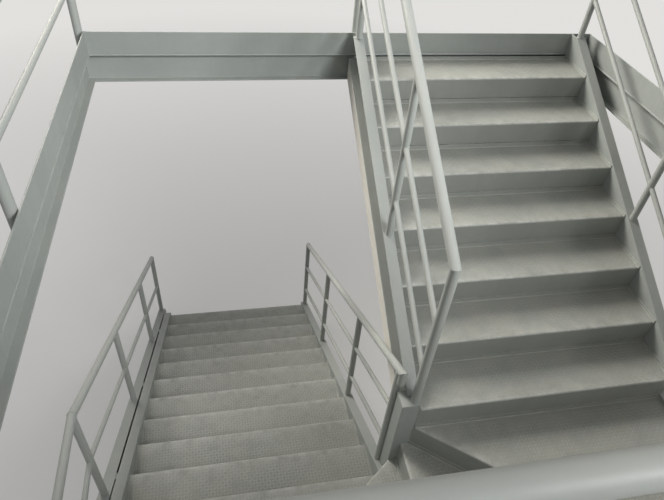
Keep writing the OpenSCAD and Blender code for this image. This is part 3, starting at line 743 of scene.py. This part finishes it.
def cream_paint():
    material, tree, shader = new_paint("cream lining paint")
    place = put(tree, "ShaderNodeTexCoord").outputs["Object"]
    up_the_pitch = put(tree, "ShaderNodeMapping", {
        "Vector": place, "Rotation": (math.radians(-30), 0, 0), "Scale": (40.0, 1.6, 40.0)})
    grain = speckle(tree, up_the_pitch, 1.0, 4.0, 0.6)
    cream = blend_colour(tree, span(tree, grain, 0.35, 0.7), (0.87, 0.84, 0.77, 1), (0.82, 0.785, 0.705, 1))
    smudge = span(tree, speckle(tree, place, 3.5, 6.0, 0.65), 0.55, 0.8, 0.0, 0.45)
    cream = blend_colour(tree, smudge, cream, (0.68, 0.635, 0.55, 1))
    rough = span(tree, speckle(tree, place, 30.0, 3.0), 0.3, 0.7, 0.5, 0.68)
    stipple = speckle(tree, place, 260.0, 2.0)
    height = reckon(tree, "ADD", stipple, reckon(tree, "MULTIPLY", grain, 0.6))
    feed(tree, shader, cream, rough, height, 0.5, 0.0008)
    return material


def coat_nodes(material, *names):
    """Nodes that are shown as they are built take a paint of their own."""
    for name in names:
        mesh = nodes[name].data
        mesh.materials.clear()
        mesh.materials.append(material)


lining_paint = cream_paint()
coat_nodes(lining_paint, "soffit_board", "soffit_sides")
pitch = math.atan2(rise, going)
board_deep, screw_y, screw_run, screw_rows_wide = 134, 1065, 2080, 1630
lining_top = above_noses - channel_deep / math.cos(pitch)


def lining_screws(name, x, drop, across, rows, seed, turn):
    """Round-headed screws through the boards, a hand and a half apart along the flight."""
    shape = bmesh.new()
    turned(shape, [(0, -0.5), (4.6, -0.5), (4.4, 0.8), (2.9, 1.5), (0, 1.7)], 10)
    piece = as_piece(name, shape, lining_paint, 30)
    run_tree(piece, anchor_grid, Across=across / 1000, Along=screw_run / 1000, Rows=rows,
             Columns=9, Seed=seed, Paint=lining_paint)
    place = at(x, screw_y, upper_line(screw_y) + drop)
    lean = Matrix.Rotation(pitch, 4, "X") @ Matrix.Rotation(math.radians(turn), 4, "Y")
    piece.data.transform(Matrix.Translation(place) @ lean)
    keep(piece, "lining_cream")


lining_screws("bottom_board_screws", (upper_in + upper_out) / 2, lining_top - board_deep,
              screw_rows_wide, 4, 2, 180)
lining_screws("left_board_screws", upper_in - flange, lining_top - 30, 0, 1, 5, -90)
lining_screws("right_board_screws", upper_out + flange, lining_top - 30, 0, 1, 9, 90)

# Balustrades
# Handrails and posts of 42 to 44 mm tube with two thin bars, mitred at each bend. Every
# meeting of two tubes is notched to fit and welded all round.
rail_paint = enamel_material(
    "rail enamel", (0.45, 0.468, 0.435, 1), (0.395, 0.413, 0.388, 1),
    (0.5, 0.485, 0.44, 1), 0.3, 0.06, 0.35, 0.0004)
coat_nodes(rail_paint, "upper_balustrade_inner", "upper_balustrade_outer",
           "lower_balustrade_inner", "lower_balustrade_outer", "winder_balustrade",
           "floor_guard_left", "floor_guard_far", "floor_guard_near")
upright = Vector((0, 0, 1))
ring_angles = [2 * math.pi * (k % 18) / 18 for k in range(19)]
seams = []


def square_to(way):
    side = way.cross(upright)
    side = side.normalized() if side.length > 0.01 else Vector((1, 0, 0))
    return side, way.cross(side).normalized()


def notch(start, way, radius, spot, axis, other):
    """Ring where a tube run from start meets the first side of another tube."""
    way, axis = way.normalized(), axis.normalized()
    u, v = square_to(way)
    ring = []
    for a in ring_angles:
        p = start + (u * math.cos(a) + v * math.sin(a)) * radius
        apart, closing = (p - spot).cross(axis), way.cross(axis)
        square, linear = closing.dot(closing), 2 * apart.dot(closing)
        fixed = apart.dot(apart) - other * other
        root = math.sqrt(max(0.0, linear * linear - 4 * square * fixed))
        ring.append(at(*(p + way * ((-linear - root) / (2 * square)))))
    return ring


def foot_ring(x, y, radius, foot):
    """Ring round a post's foot, on a level or on a sloping channel."""
    ring = []
    for a in ring_angles:
        px, py = x + radius * math.cos(a), y + radius * math.sin(a)
        ring.append(at(px, py, foot(py) if callable(foot) else foot))
    return ring


def bend_ring(a, b, c, radius):
    """Mitre seam at b of a tube that runs a, b, c."""
    u, v = (b - a).normalized(), (c - b).normalized()
    cut = (u + v).normalized()
    side, up_side = square_to(u)
    ring = []
    for t in ring_angles:
        p = b + (side * math.cos(t) + up_side * math.sin(t)) * radius
        ring.append(at(*(p - u * ((p - b).dot(cut) / u.dot(cut)))))
    return ring


def welded_panel(bars, posts, rail_r, bar_r, post_r, slack=20, least_run=60):
    """Rings at each bend of the bars (paths, the rail first) and at each meeting with a post."""
    for number, path in enumerate(bars):
        radius = bar_r if number else rail_r
        for a, b, c in zip(path, path[1:], path[2:]):
            seams.append(bend_ring(a, b, c, radius))
        for a, b in zip(path, path[1:]):
            way, length = (b - a).normalized(), (b - a).length
            flat = Vector((way.x, way.y, 0))
            if flat.length < 0.05:
                continue
            for x, y, _ in posts:
                s = Vector((x - a.x, y - a.y, 0)).dot(flat) / flat.length_squared
                if not -slack <= s <= length + slack:
                    continue
                cross = a + way * s
                if number == 0:
                    below = Vector((x, y, cross.z - 200))
                    seams.append(notch(below, upright, min(post_r, rail_r - 0.5), a, way, rail_r))
                    continue
                for side, room in ((-1, s), (1, length - s)):
                    if room >= least_run:
                        start = cross + way * side * 120
                        seams.append(notch(start, -way * side, radius, Vector((x, y, 0)), upright, post_r))
    for x, y, foot in posts:
        if foot is not None:
            seams.append(foot_ring(x, y, post_r, foot))


def run(x, *points):
    """A tube's path in the upright plane at x, from (y, z) points."""
    return [Vector((x, y, z)) for y, z in points]


def over_upper(y, h):
    return (y, upper_line(y) + h)


def over_lower(y, h):
    return (y, lower_line(y) + h)


rail_r, well_rail_r, bar_r, post_r = 22, 25, 15, 21
rail_up, well_rail_up, bars_up = 950, 1005, (615, 275)
guard_rail_z = floor_z + 925
middle_post_y, turn_post_y = 800, -650

# The well side of the upper flight, whose rail bends level to meet the floor guard.
well_x, newel_post_y, top_post_y = upper_in - flange / 2 + 3, -17, fascia_far - 75
well_bend_y = round(floor_nose - (floor_z + well_rail_up - guard_rail_z) * going / rise, 1)
welded_panel([run(well_x, over_upper(newel_post_y, well_rail_up), over_upper(well_bend_y, well_rail_up),
                  (far_y - well_rail_r, guard_rail_z)),
              *(run(well_x, over_upper(newel_post_y, h), over_upper(top_post_y, h)) for h in bars_up)],
             [(well_x, newel_post_y, newel_top), (well_x, middle_post_y, on_upper),
              (well_x, top_post_y, floor_z)],
             well_rail_r, bar_r, post_r)

# The outer side of the upper flight, which runs on level to the corner of the turn.
upper_x, winder_y, first_post_y, end_post_y = upper_out + flange / 2, turn_near - 25.5, 5, 1980
level_y, rail_end_y = turn_y - going, end_post_y + 50
level_rail_z, rail_end_z = turn_tops[1] + rail_up, upper_line(end_post_y) + rail_up
welded_panel([run(upper_x, (winder_y, level_rail_z), over_upper(level_y, rail_up),
                  over_upper(end_post_y, rail_up), (rail_end_y, rail_end_z)),
              *(run(upper_x, (winder_y, turn_tops[1] + h), over_upper(level_y, h),
                    over_upper(end_post_y, h)) for h in bars_up)],
             [(upper_x, winder_y, level_tops[2]), (upper_x, turn_post_y, level_tops[1]),
              (upper_x, first_post_y, on_upper), (upper_x, middle_post_y, on_upper),
              (upper_x, end_post_y, floor_z)],
             rail_r, bar_r, post_r)

# The well side of the lower flight. Its rail drops to a short stub beside the newel.
inner_x, stub_y, stub_up, foot_up = lower_in + flange / 2, 38, 872, 60
inner_posts = (80, 836, 1835, foot_y - 60)
welded_panel([run(inner_x, over_lower(stub_y, stub_up), over_lower(stub_y, rail_up),
                  over_lower(inner_posts[-1], rail_up), over_lower(inner_posts[-1], foot_up)),
              *(run(inner_x, over_lower(inner_posts[0], h), over_lower(inner_posts[-1], h))
                for h in bars_up)],
             [(inner_x, y, on_lower) for y in inner_posts],
             rail_r, bar_r, post_r)

# The outer side of the lower flight, on the kerb, with one bar.
kerb_bend_y, side_rail_up, side_bar_up = 100, 850, 425
kerb_posts = (90, 1110, 2180, kerb_end - 100)
side_rail_z, side_bar_z = [round(lower_line(kerb_bend_y) + h) for h in (side_rail_up, side_bar_up)]
welded_panel([run(kerb_x, (winder_y, side_rail_z), (kerb_bend_y, side_rail_z),
                  over_lower(kerb_posts[-1], side_rail_up), over_lower(kerb_posts[-1], foot_up)),
              run(kerb_x, (winder_y, side_bar_z), (kerb_bend_y, side_bar_z),
                  over_lower(kerb_posts[-1], side_bar_up))],
             [(kerb_x, winder_y, kerb_top), (kerb_x, turn_post_y, kerb_top),
              *((kerb_x, y, on_lower) for y in kerb_posts)],
             rail_r, bar_r, post_r)

# The near side of the turn: the rail climbs from corner to corner, the bars below it.
welded_panel([[Vector((x, winder_y, z - drop)) for x, z in ((kerb_x, side_rail_z), (upper_x, level_rail_z))]
              for drop in (0, 340, 685)],
             [(kerb_x, winder_y, None), (-830, winder_y, level_tops[3]), (40, winder_y, level_tops[2]),
              (830, winder_y, level_tops[2]), (upper_x, winder_y, None)],
             rail_r, bar_r, post_r)
welds("balustrade_welds", seams, 4.6, "rail_grey", rail_paint, 5)

# Floor guards
# Level guards of 50 mm posts and 44 mm rail stand on the beam flange on three sides.
# Posts are welded to the flange and closed with a domed disc at the corners.
guard_bar_r, guard_post_r = 16.5, 25
levels = (guard_rail_z, floor_z + 585, floor_z + 243)
left_posts, near_posts = (near_y, 325, far_y), (-575, 575, right_x)
seams = []
welded_panel([run(left_x, (near_y, z), (far_y, z)) for z in levels],
             [(left_x, y, flange_z) for y in left_posts], rail_r, guard_bar_r, guard_post_r)
for y, posts in ((far_y, (well_x,)), (near_y, near_posts)):
    welded_panel([[Vector((left_x, y, z)), Vector((posts[-1], y, z))] for z in levels],
                 [(left_x, y, None), *((x, y, flange_z) for x in posts)], rail_r, guard_bar_r, guard_post_r)
welds("guard_welds", seams, 5, "rail_grey", rail_paint, 8)

# Discs close the cut ends of posts and rails, ground to a low dome.
discs = bmesh.new()


def end_disc(spot, radius, way):
    lean = upright.rotation_difference(Vector(way)).to_matrix().to_4x4()
    turned(discs, [(0, -3), (radius - 0.4, -3), (radius - 0.4, 0.4), (radius * 0.9, 1.5),
                   (radius * 0.6, 2.3), (0, 2.7)], 24, Matrix.Translation(at(*spot)) @ lean)


for x, y in ((left_x, near_y), (left_x, far_y), (well_x, far_y), (right_x, near_y)):
    end_disc((x, y, guard_rail_z + guard_post_r), guard_post_r, upright)
corner_r = rail_r + 1
end_disc((kerb_x, winder_y, side_rail_z + corner_r), corner_r, upright)
end_disc((upper_x, winder_y, level_rail_z + corner_r), corner_r, upright)
end_disc((upper_x, rail_end_y, rail_end_z), rail_r, (0, 1, 0))
end_disc((inner_x, stub_y, lower_line(stub_y) + stub_up), rail_r, (0, 0, -1))
keep(as_piece("tube_end_discs", discs, rail_paint, 30), "rail_grey")

# Stage
# A pale studio floor, two broad lamps and an even sky; the camera stands where the
# photograph was taken, over the near guard and looking down the well.
backdrop, full_strength = (0.76, 0.75, 0.73, 1), 1.0


def shown_as_such(tree):
    """1 where the camera looks at a surface, straight, in a gloss or through glass."""
    rays = put(tree, "ShaderNodeLightPath").outputs
    return reckon(tree, "MAXIMUM", rays["Is Camera Ray"], rays["Is Glossy Ray"], rays["Is Transmission Ray"])


def pale_stage():
    material, tree, shader = new_paint("pale stage")
    shader.inputs["Roughness"].default_value = 0.85
    place = put(tree, "ShaderNodeTexCoord").outputs["Object"]
    shown = shown_as_such(tree)
    pale = blend_colour(tree, speckle(tree, place, 0.4), (0.74, 0.73, 0.71, 1), (0.78, 0.77, 0.75, 1))
    lit = blend_colour(tree, shown, (0.3, 0.29, 0.28, 1), pale)
    tree.links.new(lit, shader.inputs["Base Color"])
    away = put(tree, "ShaderNodeVectorMath", {0: place}, operation="LENGTH").outputs["Value"]
    share = reckon(tree, "MULTIPLY", shown, span(tree, away, 2.0, 12.0, 0.3, 1.0))
    glow = put(tree, "ShaderNodeEmission", {"Color": backdrop, "Strength": full_strength})
    mixed = put(tree, "ShaderNodeMixShader", {0: share, 1: shader, 2: glow})
    tree.links.new(mixed.outputs[0], tree.nodes["Material Output"].inputs["Surface"])
    return material


mesh = bpy.data.meshes.new("stage_floor")
reach, sunk = 45, -0.001
corners = [(-reach, -reach, sunk), (reach, -reach, sunk), (reach, reach, sunk), (-reach, reach, sunk)]
mesh.from_pydata(corners, [], [(0, 1, 2, 3)])
mesh.materials.append(pale_stage())
floor = bpy.data.objects.new("stage_floor", mesh)
bpy.context.scene.collection.objects.link(floor)

sky = bpy.data.worlds.new("even sky")
bpy.context.scene.world = sky
sky.use_nodes = True
tree = sky.node_tree
tree.nodes.clear()
plain = put(tree, "ShaderNodeBackground", {"Color": (0.98, 0.99, 1.0, 1), "Strength": 0.29})
behind = put(tree, "ShaderNodeBackground", {"Color": backdrop, "Strength": full_strength})
mixed = put(tree, "ShaderNodeMixShader", {0: shown_as_such(tree), 1: plain, 2: behind})
put(tree, "ShaderNodeOutputWorld", {0: mixed})


def lamp(name, spot, aim, size, watts, colour, spread):
    light = bpy.data.lights.new(name, "AREA")
    light.spread = math.radians(spread)
    light.shape, light.size, light.energy, light.color = "DISK", size, watts, colour
    holder = bpy.data.objects.new(name, light)
    holder.location = spot
    holder.rotation_euler = (Vector(aim) - Vector(spot)).to_track_quat("-Z", "Y").to_euler()
    bpy.context.scene.collection.objects.link(holder)


lamp("far_lamp", (-2.9, 4.0, 7.0), (1.0, 0.1, 3.1), 3.0, 72, (1.0, 0.965, 0.9), 58)
lamp("near_lamp", (2.4, -3.9, 6.8), (-1.7, 1.1, 3.5), 2.0, 34, (0.97, 0.985, 1.0), 50)

eye = (-0.92617, -2.37808, 5.16833)
turn, dip, roll = (math.radians(a) for a in (14.072, 42.167, -5.783))
ahead = Vector((math.sin(turn) * math.cos(dip), math.cos(turn) * math.cos(dip), -math.sin(dip)))
right = Vector((math.cos(turn), -math.sin(turn), 0))
down = ahead.cross(right)
across = right * math.cos(roll) + down * math.sin(roll)
below = down * math.cos(roll) - right * math.sin(roll)
lens = bpy.data.cameras.new("photo_camera")
lens.sensor_fit, lens.sensor_width, lens.lens = "HORIZONTAL", 36, 30.644
lens.clip_start, lens.clip_end = 0.05, 200
camera = bpy.data.objects.new("photo_camera", lens)
camera.matrix_world = Matrix.Translation(eye) @ Matrix((across, -below, -ahead)).transposed().to_4x4()
bpy.context.scene.collection.objects.link(camera)
bpy.context.scene.camera = camera
bpy.context.scene.view_settings.view_transform = "Standard"
